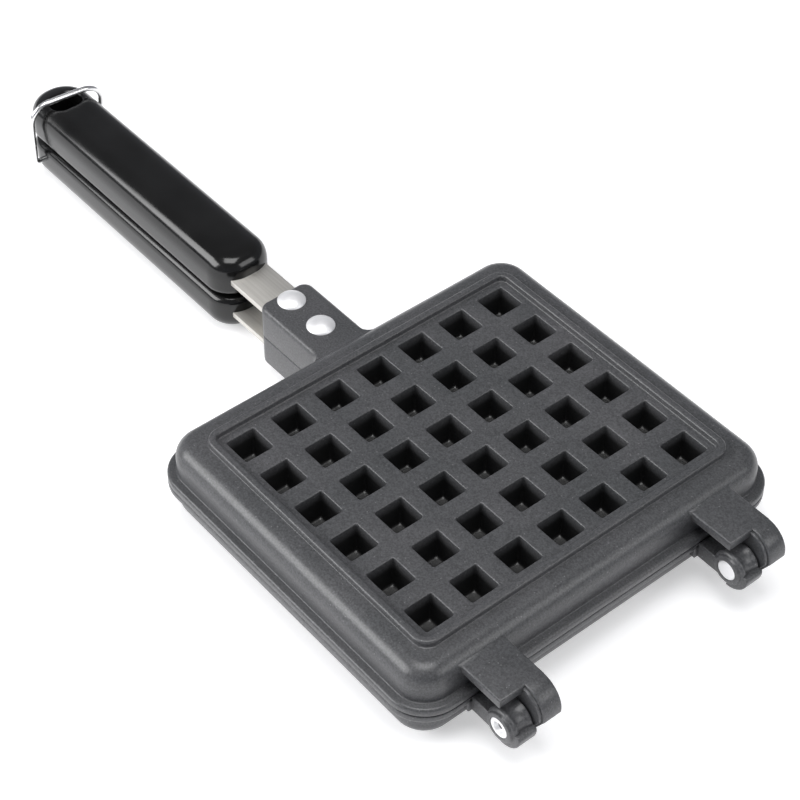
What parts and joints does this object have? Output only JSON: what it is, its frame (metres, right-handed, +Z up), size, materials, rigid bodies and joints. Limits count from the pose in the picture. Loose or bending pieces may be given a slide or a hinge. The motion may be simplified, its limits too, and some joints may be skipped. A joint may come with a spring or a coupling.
{
  "type": "stovetop waffle pan",
  "caption": "Two hinged cast waffle plates with riveted tangs, moulded grips and a wire bail that holds the closed grips together.",
  "frame": {"origin": "centre of the pan's footprint on the surface it stands on", "axes": "+X from the grips to the hinge, +Y to the side, +Z up"},
  "size_m": [0.341, 0.1518, 0.0364],
  "materials": {
    "coated_casting": "semi-matte dark grey non-stick coating with a fine cast speckle",
    "tang_steel": "satin stamped steel",
    "bright_aluminium": "bright smooth rivet metal",
    "grip_plastic": "glossy black heat-proof moulding",
    "bright_wire": "bright plated spring wire"
  },
  "bodies": {
    "lower_half": {"lower_plate": "coated_casting", "lower_tang": "tang_steel", "lower_rivets": "bright_aluminium", "lower_grip": "grip_plastic", "hinge_pins": "bright_aluminium"},
    "upper_half": {"upper_plate": "coated_casting", "upper_tang": "tang_steel", "upper_rivets": "bright_aluminium", "upper_grip": "grip_plastic"},
    "bail": {"bail": "bright_wire"}
  },
  "joints": [
    {"name": "pan_hinge", "type": "hinge", "parent": "lower_half", "child": "upper_half", "pos_m": [0.0823, -0.0016, 0.0176], "axis": [0, 1, 0], "range_deg": [0, 180]},
    {"name": "bail_swing", "type": "hinge", "parent": "lower_half", "child": "bail", "pos_m": [-0.2379, 0, 0.0096], "axis": [0, -1, 0], "range_deg": [0, 100]}
  ]
}
